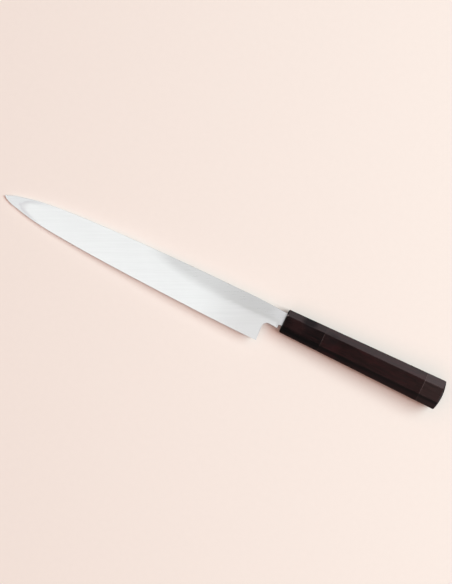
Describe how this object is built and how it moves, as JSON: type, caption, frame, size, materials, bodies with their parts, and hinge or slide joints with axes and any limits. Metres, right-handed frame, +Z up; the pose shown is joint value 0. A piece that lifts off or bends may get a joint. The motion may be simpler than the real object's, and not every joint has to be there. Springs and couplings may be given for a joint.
{
  "type": "yanagiba knife",
  "caption": "Long single-bevel slicing knife with a hollow-ground face and a tapered octagonal dark wood handle, lying on its bevel side.",
  "frame": {"origin": "under the middle of the knife's box, on the surface it lies on", "axes": "+X towards the butt of the handle with the point at -X, +Y towards the spine, +Z up, out of the hollow-ground side"},
  "size_m": [0.3816, 0.0358, 0.0241],
  "materials": {
    "blade_steel": "fine satin, polished flat rim and edge",
    "ferrule_wood": "dense blackish wood, polished",
    "grip_wood": "dark reddish brown hardwood, oiled satin",
    "liner": "thin grey-brown veneer, satin",
    "core_wood": "plain pale hardwood, unfinished",
    "resin": "dark cured adhesive"
  },
  "bodies": {
    "root": {"blade": "blade_steel", "ferrule": "ferrule_wood", "ferrule_liner": "liner", "grip": "grip_wood", "cap_liner": "liner", "butt_cap": "ferrule_wood", "tang_dowel": "core_wood", "cap_dowel": "core_wood", "tang_resin": "resin"}
  },
  "joints": []
}
